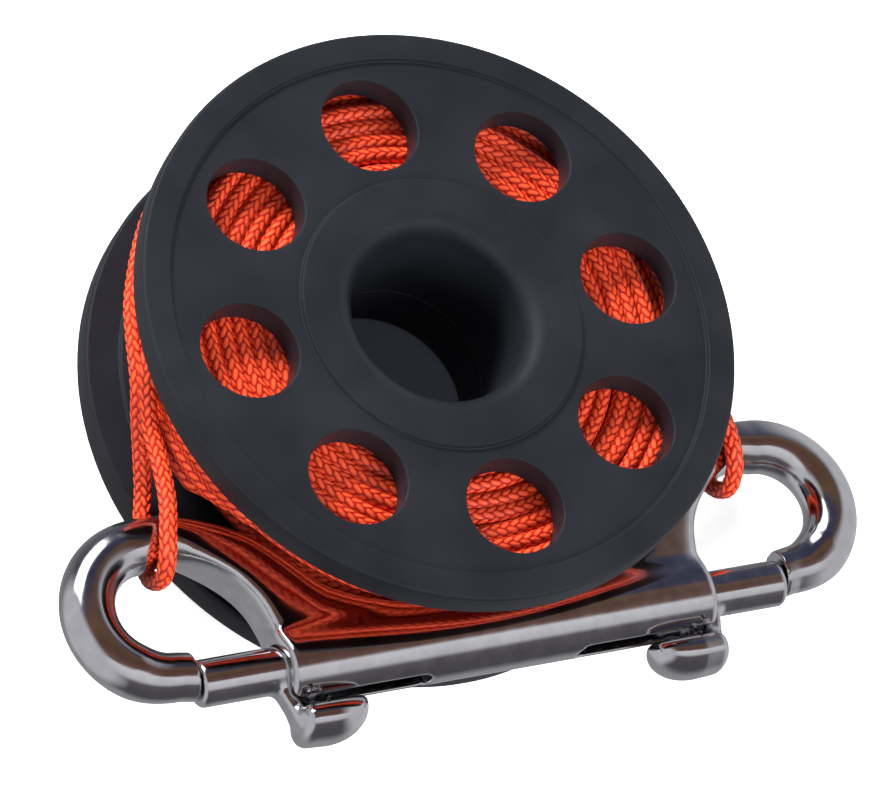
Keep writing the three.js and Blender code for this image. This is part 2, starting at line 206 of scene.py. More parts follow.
# Camera, fitted to the flange edges, holes and bore of the photograph
camera_target = Vector((2.36, -2.54, 14.4)) * mm
camera_distance = 846.7 * mm
camera_azimuth = math.radians(-142.55)
camera_elevation = math.radians(56.58)
camera_roll = math.radians(-38.55)
camera_lens = 259.37
camera_sensor = 36


def direction_from(azimuth, elevation):
    flat = math.cos(elevation)
    return Vector((flat * math.cos(azimuth), flat * math.sin(azimuth), math.sin(elevation)))


def view_axes():
    """The camera's right, up and backward directions."""
    back = direction_from(camera_azimuth, camera_elevation)
    right = Vector((0, 0, 1)).cross(back).normalized()
    up = back.cross(right)
    turned_up = up * math.cos(camera_roll) + right * math.sin(camera_roll)
    return turned_up.cross(back), turned_up, back


def make_camera():
    right, up, back = view_axes()
    camera = bpy.data.objects.new("camera", bpy.data.cameras.new("camera"))
    camera.data.lens = camera_lens
    camera.data.sensor_width = camera_sensor
    camera.data.clip_end = 10
    turn = Matrix((right, up, back)).transposed().to_4x4()
    camera.matrix_world = Matrix.Translation(camera_target + back * camera_distance) @ turn
    bpy.context.scene.collection.objects.link(camera)
    bpy.context.scene.camera = camera


# Meshes from arrays
def new_object(name, vertices, *face_sets, smooth=True):
    """A mesh object from an array of points and arrays of faces, those of one array with as many corners."""
    mesh = bpy.data.meshes.new(name)
    corners = np.concatenate([np.full(len(faces), faces.shape[1]) for faces in face_sets])
    mesh.vertices.add(len(vertices))
    mesh.vertices.foreach_set("co", np.asarray(vertices, np.float32).ravel())
    mesh.loops.add(int(corners.sum()))
    indices = np.concatenate([faces.ravel() for faces in face_sets])
    mesh.loops.foreach_set("vertex_index", indices.astype(np.int32))
    mesh.polygons.add(len(corners))
    mesh.polygons.foreach_set("loop_start", (np.cumsum(corners) - corners).astype(np.int32))
    mesh.polygons.foreach_set("use_smooth", np.full(len(corners), smooth))
    mesh.update(calc_edges=True)
    made = bpy.data.objects.new(name, mesh)
    bpy.context.scene.collection.objects.link(made)
    return made


def grid_faces(rings, sides, closed_ends=False):
    """Quads between neighbouring rings of points, and between the last and the first if asked."""
    start = np.arange(rings if closed_ends else rings - 1)[:, None]
    after = (start + 1) % rings
    side = np.arange(sides)[None, :]
    beside = (side + 1) % sides
    quads = np.stack([
        start * sides + side, start * sides + beside, after * sides + beside, after * sides + side], -1)
    return quads.reshape(-1, 4)


def spline(points, spacing):
    """A centripetal Catmull-Rom curve through points, as points about spacing apart."""
    points = np.asarray(points, float)
    padded = np.vstack([2 * points[0] - points[1], points, 2 * points[-1] - points[-2]])
    dense = []
    for p0, p1, p2, p3 in zip(padded, padded[1:], padded[2:], padded[3:]):
        t1 = np.linalg.norm(p1 - p0) ** 0.5
        t2 = t1 + np.linalg.norm(p2 - p1) ** 0.5
        t3 = t2 + np.linalg.norm(p3 - p2) ** 0.5
        t = np.linspace(t1, t2, 24, endpoint=False)[:, None]
        a1 = p0 + (p1 - p0) * t / t1
        a2 = p1 + (p2 - p1) * (t - t1) / (t2 - t1)
        a3 = p2 + (p3 - p2) * (t - t2) / (t3 - t2)
        b1 = a1 + (a2 - a1) * t / t2
        b2 = a2 + (a3 - a2) * (t - t1) / (t3 - t1)
        dense.append(b1 + (b2 - b1) * (t - t1) / (t2 - t1))
    return evenly(np.vstack(dense + [points[-1:]]), spacing)


def evenly(path, spacing):
    """The same path as points an even distance apart."""
    along = np.concatenate([[0], np.cumsum(np.linalg.norm(np.diff(path, axis=0), axis=1))])
    places = np.linspace(0, along[-1], int(round(along[-1] / spacing)) + 1)
    return np.stack([np.interp(places, along, path[:, i]) for i in range(3)], 1)


def carried_frames(path):
    """Two directions across the path at each of its points, carried along it without twist."""
    along = np.gradient(path, axis=0)
    along /= np.linalg.norm(along, axis=1)[:, None]
    across = np.empty_like(path)
    last = np.array([0.0, 0.0, 1.0])
    for i, direction in enumerate(along):
        last = last - direction * last.dot(direction)
        last /= np.linalg.norm(last)
        across[i] = last
    return across, np.cross(along, across)


def tube(name, path, radius, sides, relief=0, stitched=True):
    """A closed tube along a path, with a map of its stitches and, if asked, their relief."""
    across, side = carried_frames(path)
    along = np.concatenate([[0], np.cumsum(np.linalg.norm(np.diff(path, axis=0), axis=1))])
    angle = np.linspace(0, 2 * math.pi, sides, endpoint=False)
    reach = radius - relief * (1 - stitch_height(along[:, None], angle[None, :])) if relief else radius
    skin = path[:, None, :] + np.broadcast_to(reach, (len(path), sides))[..., None] * (
        across[:, None, :] * np.cos(angle)[None, :, None] + side[:, None, :] * np.sin(angle)[None, :, None])
    vertices = np.vstack([skin.reshape(-1, 3), path[:1], path[-1:]])
    walls = grid_faces(len(path), sides)
    first, last = len(vertices) - 2, len(vertices) - 1
    ring = np.arange(sides)
    beside = (ring + 1) % sides
    tail = (len(path) - 1) * sides
    caps = np.vstack([
        np.stack([np.full(sides, first), beside, ring], 1),
        np.stack([np.full(sides, last), tail + ring, tail + beside], 1)])
    made = new_object(name, vertices, walls, caps)
    if stitched:
        pitches = np.broadcast_to((along / stitch_pitch)[:, None], (len(path), sides))
        start, end = pitches[:-1], pitches[1:]
        low = np.broadcast_to(ring * stitch_columns / sides, start.shape)
        high = low + stitch_columns / sides
        pairs = ((start, low), (start, high), (end, high), (end, low))
        corners = np.stack([np.stack(pair, -1) for pair in pairs], -2)
        places = np.vstack([corners.reshape(-1, 2), np.zeros((6 * sides, 2))])
        made.data.uv_layers.new(name="stitches").data.foreach_set("uv", places.astype(np.float32).ravel())
    return made


def stitch_height(along, around):
    """The height, from 0 to 1, of the plaited stitches at a place along and around the line."""
    columns = around * stitch_columns / (2 * math.pi)
    odd = np.floor(columns) % 2
    a = ((along / stitch_pitch + odd / 2) % 1 - 0.5) * stitch_pitch
    b = (columns % 1 - 0.5) * stitch_column_width * (1 - 2 * odd)
    length = (a * math.cos(stitch_lean) + b * math.sin(stitch_lean)) / stitch_half_length
    width = (b * math.cos(stitch_lean) - a * math.sin(stitch_lean)) / stitch_half_width
    return np.sqrt(np.maximum(0, 1 - length ** 4 - width ** 2))


def lathe(name, profile, segments, place=(0, 0, 0), flip=False):
    """A closed profile of (radius, height) pairs, anticlockwise, spun about Z."""
    profile = np.asarray(profile, float)
    if flip:
        profile = profile[::-1] * (1, -1)
    angle = np.linspace(0, 2 * math.pi, segments, endpoint=False)
    rings = np.stack([
        np.cos(angle)[:, None] * profile[None, :, 0],
        np.sin(angle)[:, None] * profile[None, :, 0],
        np.broadcast_to(profile[None, :, 1], (segments, len(profile)))], -1)
    faces = grid_faces(segments, len(profile), True)[:, ::-1]
    return new_object(name, rings.reshape(-1, 3) + np.array(place), faces)


def softened(profile, radius, steps=4):
    """The same closed profile with each sharp corner rounded off."""
    profile = [np.array(point, float) for point in profile]
    rounded = []
    for i, corner in enumerate(profile):
        before = profile[i - 1] - corner
        after = profile[(i + 1) % len(profile)] - corner
        reach = min(radius, 0.45 * np.linalg.norm(before), 0.45 * np.linalg.norm(after))
        straight = before.dot(after) / (np.linalg.norm(before) * np.linalg.norm(after))
        if straight < -0.94:
            rounded.append(corner)
            continue
        start = corner + before / np.linalg.norm(before) * reach
        end = corner + after / np.linalg.norm(after) * reach
        for t in np.linspace(0, 1, steps + 1):
            rounded.append((1 - t) ** 2 * start + 2 * t * (1 - t) * corner + t ** 2 * end)
    return rounded


def arc(centre_radius, centre_height, radius, start, end, steps):
    angles = np.linspace(start, end, steps + 1)
    return [(centre_radius + radius * math.cos(a), centre_height + radius * math.sin(a)) for a in angles]


# Reel
def half_profile(with_spigot):
    """One moulded half in (radius, depth) pairs, depth measured inwards from its outer face."""
    sleeve = bore_radius + spigot_wall
    drum_radius = bore_radius + drum_wall
    drum_end = mid_z - seat_gap if with_spigot else mid_z
    if with_spigot:
        reach = mid_z + spigot_length - seat_gap
        tongue = [(sleeve, drum_end), (sleeve, reach), (bore_radius, reach)]
    else:
        reach = mid_z - spigot_length
        tongue = [(sleeve + seat_gap, drum_end), (sleeve + seat_gap, reach), (bore_radius, reach)]
    quarter = math.pi / 2
    return [
        *arc(bore_radius + lip_radius, lip_radius, lip_radius, 2 * quarter, 3 * quarter, 16),
        (boss_radius, 0),
        (boss_radius + step_slope, face_recess),
        (step_radius, face_recess),
        (step_radius + step_slope, 0),
        *arc(flange_radius - edge_radius, edge_radius, edge_radius, 3 * quarter, 4 * quarter, 6),
        *arc(flange_radius - edge_radius, rim_thickness - edge_radius, edge_radius, 0, quarter, 6),
        (inner_step_radius + step_slope, rim_thickness),
        (inner_step_radius, disc_thickness),
        *arc(drum_radius + drum_fillet, disc_thickness + drum_fillet, drum_fillet,
             3 * quarter, 2 * quarter, 6),
        (drum_radius, drum_end),
        *tongue,
    ]


def hole_cutter():
    """One hole's cutter with a rounded mouth, in (radius, depth) pairs."""
    overrun = 1 * mm
    mouth = [(hole_radius + hole_round - x, face_recess + hole_round - y) for x, y in arc(
        0, 0, hole_round, math.pi / 2, 0, 6)]
    return [
        (0, -overrun), (hole_radius + hole_round, -overrun), *mouth,
        (hole_radius, disc_thickness + overrun), (0, disc_thickness + overrun)]


def cut(target, cutter):
    """Cuts one closed mesh out of another and drops the cutter."""
    boolean = target.modifiers.new("cut", "BOOLEAN")
    boolean.operation = "DIFFERENCE"
    boolean.solver = "EXACT"
    boolean.object = cutter
    bpy.context.view_layer.update()
    done = bpy.data.meshes.new_from_object(target.evaluated_get(bpy.context.evaluated_depsgraph_get()))
    target.modifiers.clear()
    target.data = done
    bpy.data.objects.remove(cutter)


def shade_by_angle(made, degrees):
    """Smooth shading, kept sharp over edges steeper than an angle."""
    made.data.set_sharp_from_angle(angle=math.radians(degrees))


def reel_half(name, node, with_spigot):
    outer_face = reel_width if with_spigot else 0
    half = lathe(name, softened(half_profile(with_spigot), corner_round), reel_segments,
                 (reel_x, reel_y, outer_face), flip=with_spigot)
    for i in range(hole_count):
        angle = first_hole_angle + 2 * math.pi * i / hole_count
        x = reel_x + hole_circle_radius * math.cos(angle)
        y = reel_y + hole_circle_radius * math.sin(angle)
        cut(half, lathe("cutter", hole_cutter(), hole_segments, (x, y, outer_face), flip=with_spigot))
    shade_by_angle(half, 32)
    finish(half, black_plastic)
    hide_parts(node)
    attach(half, "reel")
    return half


# Winding
def winding_radius_at(z, angle):
    """The winding is low beside the stored snap, and full in front of it and away from it."""
    away = np.abs((angle + math.pi / 2 + math.pi) % (2 * math.pi) - math.pi)
    freed = np.clip((away - snap_side_angle) / snap_side_fade, 0, 1)
    start = winding_step_start - snap_side_drop * freed ** 2 * (3 - 2 * freed)
    share = np.clip((z - start) / winding_step_length, 0, 1)
    return rear_winding_radius + (front_winding_radius - rear_winding_radius) * share ** 2 * (3 - 2 * share)


def wander(phase, size):
    """A slow, repeatable unevenness along a wound line, from waves of a height, a rate and a start."""
    total = sum(height * np.sin(rate * phase + start) for height, rate, start in wander_waves)
    return size * total / sum(height for height, _, _ in wander_waves)


def wound(angle, radius, z):
    return np.stack([reel_x + radius * np.cos(angle), reel_y + radius * np.sin(angle), z], 1)


def inner_path():
    """The layers under the outer one, wound to and fro across the drum."""
    low = winding_end + line_diameter
    high = reel_width - low
    steps = inner_turns * turn_steps
    sweep = 2 * math.pi * (inner_turns + layer_shift)
    pieces = []
    for layer in range(inner_layers):
        share = np.linspace(0, 1, steps, endpoint=False)
        ends = np.clip((share - layer_dwell) / (1 - 2 * layer_dwell), 0, 1)
        z = low + (high - low) * (ends if layer % 2 == 0 else 1 - ends)
        angle = sweep * (layer + share)
        depth = winding_radius_at(z, angle) - under_outer - inner_first_radius
        climb = (layer + share * layer_climb) / (inner_layers - layer_climb)
        radius = inner_first_radius + depth * climb + wander(angle + 1, inner_wander[0])
        z = z + wander(angle, inner_wander[1]) * np.sin(math.pi * share) ** 0.5
        pieces.append(wound(angle, radius, np.clip(z, low, high)))
    return np.vstack(pieces)


def end_path(z, phase):
    """Turns side by side against a flange, as the holes show them, from the drum outwards."""
    share = np.linspace(0, 1, int(turn_steps * end_turns))
    angle = phase + 2 * math.pi * end_turns * share
    top = winding_radius_at(z, angle) - under_outer
    radius = inner_first_radius + (top - inner_first_radius) * share
    fade = np.sin(math.pi * share) ** 0.5
    depth = np.sign(mid_z - z) * (end_depth + wander(1.3 * angle + phase, end_wander[1]))
    return wound(angle, radius + wander(0.9 * angle + phase, end_wander[0]) * fade, z + depth)


def outer_path():
    """The outer layer, one helix from the rear to the front, whose ends run on into the free stretch."""
    bottom = line_route[-1][2] * mm
    top = line_route[0][2] * mm
    sweep = outer_end_angle - outer_start_angle + 2 * math.pi * outer_turns
    share = np.linspace(0, 1, turn_steps * outer_turns)
    z = bottom + (top - bottom) * share
    angle = outer_start_angle + sweep * share
    radius = winding_radius_at(z, angle) - line_diameter / 2
    fade = np.sin(math.pi * share) ** 0.5
    path = wound(angle, radius, z + wander(angle, outer_wander) * fade)
    start = np.array(line_route[-1]) * mm
    end = np.array(line_route[0]) * mm
    return np.vstack([start, path[2:-2], end])


def make_winding():
    radius = line_diameter / 2
    rear_path = end_path(winding_end, rear_end_phase)
    front_path = end_path(reel_width - winding_end, front_end_phase)
    inner = tube("winding_inner", evenly(inner_path(), inner_spacing), radius, inner_sides)
    outer = tube("winding_outer", evenly(outer_path(), outer_spacing), radius, outer_sides)
    rear = tube("winding_rear_end", evenly(rear_path, end_spacing), radius, outer_sides)
    front = tube("winding_front_end", evenly(front_path, end_spacing), radius, outer_sides)
    stand_ins = ((inner, "line_core"), (rear, "line_core"), (front, "line_core"), (outer, "line_outer_layer"))
    for turns, stands_for in stand_ins:
        finish(turns, orange_line)
        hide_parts(stands_for)
        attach(turns, "reel")


def make_loop():
    path = spline(np.array(line_route) * mm, loop_spacing)
    loop = tube("end_loop", path, line_diameter / 2, loop_sides, stitch_relief)
    finish(loop, orange_line)
    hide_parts("line_end_loop")
    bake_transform(loop)


# Surfaces of cast pieces, found as the zero level of a field that is negative inside
def surface_net(field, low, high, step):
    """A closed quad mesh of the zero level of field(points), with its points moved onto that level."""
    axes = [np.arange(a, b + step, step) for a, b in zip(low, high)]
    grid = np.stack(np.meshgrid(*axes, indexing="ij"), -1)
    values = field(grid.reshape(-1, 3)).reshape(grid.shape[:3])
    inside = values < 0
    offsets = [(i, j, k) for i in (0, 1) for j in (0, 1) for k in (0, 1)]
    size = np.array(values.shape) - 1

    def corner(array, offset):
        return array[tuple(slice(o, o + n) for o, n in zip(offset, size))]

    count = sum(corner(inside, offset).astype(int) for offset in offsets)
    mixed = (count > 0) & (count < 8)
    number = np.full(mixed.shape, -1)
    number[mixed] = np.arange(mixed.sum())
    held = {offset: corner(values, offset)[mixed] for offset in offsets}
    total = np.zeros((int(mixed.sum()), 3))
    crossings = np.zeros(int(mixed.sum()))
    for start in offsets:
        for axis in range(3):
            if start[axis]:
                continue
            end = tuple(o + (i == axis) for i, o in enumerate(start))
            a, b = held[start], held[end]
            crosses = (a < 0) != (b < 0)
            share = np.where(crosses, a / np.where(crosses, a - b, 1), 0)
            place = np.array(start, float) + share[:, None] * np.eye(3)[axis]
            total += place * crosses[:, None]
            crossings += crosses
    base = np.argwhere(mixed)
    points = np.array(low) + (base + total / crossings[:, None]) * step
    faces = []
    for axis in range(3):
        first, second = (axis + 1) % 3, (axis + 2) % 3
        near = [slice(1, -1)] * 3
        near[axis] = slice(0, -1)
        far = list(near)
        far[axis] = slice(1, None)
        a, b = inside[tuple(near)], inside[tuple(far)]
        places = np.argwhere(a != b) + [0 if i == axis else 1 for i in range(3)]
        outward = a[a != b]
        corners = []
        for u, v in ((-1, -1), (0, -1), (0, 0), (-1, 0)):
            at = places.copy()
            at[:, first] += u
            at[:, second] += v
            corners.append(number[tuple(at.T)])
        quads = np.stack(corners, 1)
        quads[~outward] = quads[~outward][:, ::-1]
        faces.append(quads)
    return settle(field, points, step), np.vstack(faces)


def settle(field, points, step, rounds=4):
    """Moves points along the field's slope onto its zero level, by no more than a step each."""
    small = 0.1 * step
    for _ in range(rounds):
        value = field(points)
        slope = np.stack([(field(points + small * axis) - field(points - small * axis)) / (2 * small)
                          for axis in np.eye(3)], 1)
        move = -slope * (value / np.maximum((slope ** 2).sum(1), 0.04))[:, None]
        reach = np.linalg.norm(move, axis=1)
        points = points + move * np.minimum(1, 0.5 * step / np.maximum(reach, 1e-12))[:, None]
    return points


def joined(a, b, blend):
    """The union of two fields with a fillet."""
    h = np.clip(0.5 + 0.5 * (b - a) / blend, 0, 1)
    return b + (a - b) * h - blend * h * (1 - h)


def without(a, b, blend):
    """The first field with the second cut out of it, its edges a little rounded."""
    return -joined(-a, b, blend)


def rounded_rod(radial, axial, radius, half_length, edge):
    """A rod with rounded ends."""
    side = radial - (radius - edge)
    end = np.abs(axial) - (half_length - edge)
    outside = np.hypot(np.maximum(side, 0), np.maximum(end, 0))
    return np.minimum(np.maximum(side, end), 0) + outside - edge


# The two edges of the arm's spine from the eye to the middle of the body, in millimetres: the
# eye's flat wall, and the edge towards the reel
inner_edge = [
    (41.2, 15.6), (37.8, 14.2), (34.4, 11.4), (32.2, 8.0), (31.2, 4.2), (30.6, 0.5), (27, -1.5), (20, -2),
    (10, -2.5), (0, -2.5),
]
outer_edge = [
    (40, 22.1), (35, 20.3), (29.6, 17.3), (25.6, 13.4), (22, 9.6), (18, 7.2), (14, 5.7), (9.5, 4.6),
    (5, 3.95), (0, 3.6),
]
flat_start = 2.4 * mm
flat_ramp = 9.6 * mm
flat_exponent = 7


def arm_edge(side, places):
    """The arm's outline on one side, from the hook's tip round the eye and along the spine, with the
    radius of its section over the hook and how far each point lies past the top of the eye."""
    turn = np.linspace(-math.pi / 2, math.pi / 2, 160)
    swell = np.clip((turn + math.pi / 2) / (math.pi * 3 / 14), 0, 1)
    swell = swell * swell * (3 - 2 * swell)
    section = hook_tip_radius + (hook_section_radius - hook_tip_radius) * swell
    reach = eye_radius + side * section
    middle = eye_rise + eye_radius
    ring = np.stack([eye_x + reach * np.cos(turn), middle + reach * np.sin(turn)], 1)
    lead = math.radians(65)
    on_ring = [(eye_x + reach[-1] * math.cos(lead), middle + reach[-1] * math.sin(lead), 0), (*ring[-1], 0)]
    spine = spline(np.vstack([on_ring, [(x * mm, y * mm, 0) for x, y in places]]), 0.2 * mm)[:, :2]
    spine = spine[np.argmax(spine[:, 0] < eye_x):]
    edge = np.vstack([[(hook_tip_x, -side * hook_tip_radius)], ring, spine])
    past = np.concatenate([[0], np.cumsum(np.linalg.norm(np.diff(edge, axis=0), axis=1))])
    section = np.concatenate([[hook_tip_radius], section, np.full(len(spine), hook_section_radius)])
    return edge, section, past - past[len(ring)]


def nearest_on(edge, place):
    """The signed distance of places to the left of a line, and the number of the nearest stretch."""
    start = edge[None, :-1]
    run = edge[None, 1:] - start
    share = np.clip(((place - start) * run).sum(-1) / (run ** 2).sum(-1), 0, 1)
    gap = place - (start + share[..., None] * run)
    distance = np.linalg.norm(gap, axis=-1)
    best = distance.argmin(1)
    pick = np.arange(len(best))
    left = run[0, best, 0] * gap[pick, best, 1] - run[0, best, 1] * gap[pick, best, 0]
    return np.where(left < 0, -1, 1) * distance[pick, best], best


def arm_tables():
    """Over a fine grid of the snap's plane: the signed offset from the middle between the arm's two
    edges, its half width, half depth and flatness there, and how far the place lies before the tip."""
    inner, section, past = arm_edge(-1, inner_edge)
    outer, _, _ = arm_edge(1, outer_edge)
    step = 0.2 * mm
    xs = np.arange(-1 * mm, 60 * mm, step)
    ys = np.arange(-7 * mm, 27 * mm, step)
    place = np.stack(np.meshgrid(xs, ys, indexing="ij"), -1).reshape(-1, 1, 2)
    in_eye, inner_best = nearest_on(inner, place)
    within, outer_best = nearest_on(outer, place)
    width = np.maximum((within - in_eye) / 2, 1 * mm)
    offset = (-in_eye - within) / 2
    ramp = np.clip((past[inner_best] - flat_start) / flat_ramp, 0, 1)
    flat = ramp * ramp * (3 - 2 * ramp)
    depth = section[inner_best] + (spine_half_depth - hook_section_radius) * flat
    x = place[:, 0, 0]
    at_tip = ((inner_best == 0) | (outer_best == 0)) & (x > body_half_length + 2 * mm)
    before = np.where(at_tip, hook_tip_x - x, -9 * mm)
    table = np.stack([offset, width, depth, flat, np.maximum(before, -9 * mm)], -1)
    return table.reshape(len(xs), len(ys), 5), xs[0], ys[0], step


def looked_up(tables, x, y):
    """Values between the points of the tables."""
    table, x0, y0, step = tables
    u = np.clip((x - x0) / step, 0, table.shape[0] - 1.001)
    v = np.clip((y - y0) / step, 0, table.shape[1] - 1.001)
    i, j = u.astype(int), v.astype(int)
    a, b = (u - i)[:, None], (v - j)[:, None]
    return ((table[i, j] * (1 - a) + table[i + 1, j] * a) * (1 - b)
            + (table[i, j + 1] * (1 - a) + table[i + 1, j + 1] * a) * b)


def arm_field(tables, x, y, z):
    offset, width, depth, flat, before = looked_up(tables, x, y).T
    exponent = np.where(offset < 0, 2 + (flat_exponent - 2) * flat, 2)
    reach = (np.abs(offset / width) ** exponent + np.abs(z / depth) ** exponent + 1e-9) ** (1 / exponent)
    side = (reach - 1) * np.minimum(width, depth)
    return np.where(before > -8 * mm, np.maximum(side, before), side)


def snap_field():
    tables = arm_tables()
    slot_half_width = neck_thickness / 2 + 2 * running_gap
    slot_end = body_half_length - neck_inset - neck_lean / 2 - bolt_travel - seat_gap

    def field(points):
        x, y, z = np.abs(points[:, 0]), points[:, 1], points[:, 2]
        radial = np.hypot(y, z)
        barrel = rounded_rod(radial, x, body_radius, body_half_length, body_end_round)
        casting = joined(barrel, arm_field(tables, x, y - hook_lift, z), casting_blend)
        bore = np.maximum(radial - bolt_radius - running_gap, np.maximum(web_half_thickness - x, x - mouth_x))
        slot = np.hypot(np.minimum(x - slot_end, 0), z) - slot_half_width
        slot = np.maximum(slot, np.maximum(y, x - mouth_x))
        return without(without(casting, bore, edge_blend), slot, edge_blend)

    return field


def knob_field(x, y, z):
    """Half a bullet: straight along the barrel, a round nose towards the middle and a blunt end."""
    share = np.clip((x - knob_start) / knob_length, 0, 1)
    nose = (1 - (1 - np.minimum(share / knob_nose_share, 1)) ** 2.2) ** (1 / 2.2)
    wide = np.maximum(nose * (1 - knob_end_taper * np.maximum(share - knob_nose_share, 0)), 0.02)
    half = wide * knob_radius
    around = np.hypot((y + body_radius + knob_gap + half) / half, z / (wide * knob_half_width))
    side = (around - 1) * half + knob_end_round
    end = np.abs(x - knob_start - knob_length / 2) - knob_length / 2 + knob_end_round
    outside = np.hypot(np.maximum(side, 0), np.maximum(end, 0))
    return outside + np.minimum(np.maximum(side, end), 0) - knob_end_round


def bolt_field(points):
    """The right bolt: its rod, the neck through the slot and the thumb knob."""
    x, y, z = points.T
    tail = body_half_length - bolt_guide_length
    nose = hook_tip_x - seat_gap
    rod = rounded_rod(np.hypot(y, z), x - (tail + nose) / 2, bolt_radius, (nose - tail) / 2, bolt_nose_round)
    foot = body_radius + knob_gap + knob_radius
    lean = neck_lean * np.clip(-y / foot, 0, 1)
    sides = np.stack([
        np.abs(x - neck_end + neck_length / 2 + lean) - neck_length / 2 + neck_edge,
        np.abs(y + foot / 2) - foot / 2 + neck_edge,
        np.abs(z) - neck_thickness / 2 + neck_edge])
    neck = np.linalg.norm(np.maximum(sides, 0), axis=0) + np.minimum(sides.max(0), 0) - neck_edge
    return joined(joined(rod, neck, neck_blend), knob_field(x, y, z), knob_blend)


def cast_piece(name, field, low, high, step, mirrored=False):
    points, faces = surface_net(field, low, high, step)
    if mirrored:
        points = points * (-1, 1, 1)
        faces = faces[:, ::-1]
    made = new_object(name, points + (snap_x, snap_y, snap_z), faces)
    finish(made, polished_steel)
    return made


def make_snap():
    margin = 1 * mm
    body = cast_piece(
        "snap_casting", snap_field(),
        (-snap_half_length - margin, -body_radius - margin, -body_radius - margin),
        (snap_half_length + margin, hook_lift + eye_top + hook_section_radius + margin, body_radius + margin),
        casting_step)
    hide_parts("snap_body")
    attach(body, "snap")
    low = (knob_start - margin, -body_radius - knob_gap - 2 * knob_radius - margin, -knob_half_width - margin)
    high = (hook_tip_x + margin, bolt_radius + margin, knob_half_width + margin)
    for side in ("left", "right"):
        bolt = cast_piece(f"{side}_bolt_casting", bolt_field, low, high, bolt_step, mirrored=side == "left")
        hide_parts(f"bolt_{side}")
        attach(bolt, f"bolt_{side}")
        make_spring(side)


def make_spring(side):
    sign = -1 if side == "left" else 1
    start = web_half_thickness + spring_wire / 2 + seat_gap
    end = body_half_length - bolt_guide_length - spring_wire / 2 - seat_gap
    share = np.linspace(0, 1, spring_turns * spring_steps)
    angle = 2 * math.pi * spring_turns * share
    path = np.stack([
        sign * (start + (end - start) * share),
        spring_coil_radius * np.cos(angle),
        spring_coil_radius * np.sin(angle)], 1)
    path = path + (snap_x, snap_y, snap_z)
    spring = tube(f"{side}_spring_wire", path, spring_wire / 2, spring_sides, stitched=False)
    finish(spring, spring_steel)
    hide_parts(f"spring_{side}")
    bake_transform(spring)


# Materials
def new_material(name, build):
    material = bpy.data.materials.new(name)
    material.use_nodes = True
    tree = material.node_tree
    tree.nodes.clear()
    output = tree.nodes.new("ShaderNodeOutputMaterial")
    shader = tree.nodes.new("ShaderNodeBsdfPrincipled")
    tree.links.new(shader.outputs["BSDF"], output.inputs["Surface"])
    build(tree, shader)
    return material


def node(tree, kind, values=None, **settings):
    made = tree.nodes.new(kind)
    for key, value in settings.items():
        setattr(made, key, value)
    for key, value in (values or {}).items():
        if isinstance(value, bpy.types.NodeSocket):
            tree.links.new(value, made.inputs[key])
        else:
            made.inputs[key].default_value = value
    return made


def ramp(tree, source, stops):
    made = tree.nodes.new("ShaderNodeValToRGB")
    made.color_ramp.elements[0].position = stops[0][0]
    made.color_ramp.elements[0].color = (*stops[0][1], 1)
    made.color_ramp.elements[1].position = stops[-1][0]
    made.color_ramp.elements[1].color = (*stops[-1][1], 1)
    for position, colour in stops[1:-1]:
        made.color_ramp.elements.new(position).color = (*colour, 1)
    tree.links.new(source, made.inputs["Fac"])
    return made.outputs["Color"]


def noise(tree, scale, detail, roughness=0.5):
    place = tree.nodes.new("ShaderNodeTexCoord").outputs["Object"]
    made = node(tree, "ShaderNodeTexNoise", {
        "Vector": place, "Scale": scale, "Detail": detail, "Roughness": roughness})
    return made.outputs["Fac"]


def plastic_look(tree, shader):
    """Satin charcoal moulding: faint clouding, fine spark-eroded grain and slightly worn sheen."""
    cloud = noise(tree, 90, 5)
    grain = noise(tree, 3800, 2)
    tree.links.new(ramp(tree, cloud, [(0.3, (0.008, 0.009, 0.012)), (0.7, (0.013, 0.014, 0.018))]),
                   shader.inputs["Base Color"])
    tree.links.new(ramp(tree, cloud, [(0.25, (0.40,) * 3), (0.75, (0.50,) * 3)]), shader.inputs["Roughness"])
    shader.inputs["Specular IOR Level"].default_value = 0.3
    bump = node(tree, "ShaderNodeBump", {"Strength": 0.12, "Distance": 0.02 * mm, "Height": grain})
    tree.links.new(bump.outputs["Normal"], shader.inputs["Normal"])


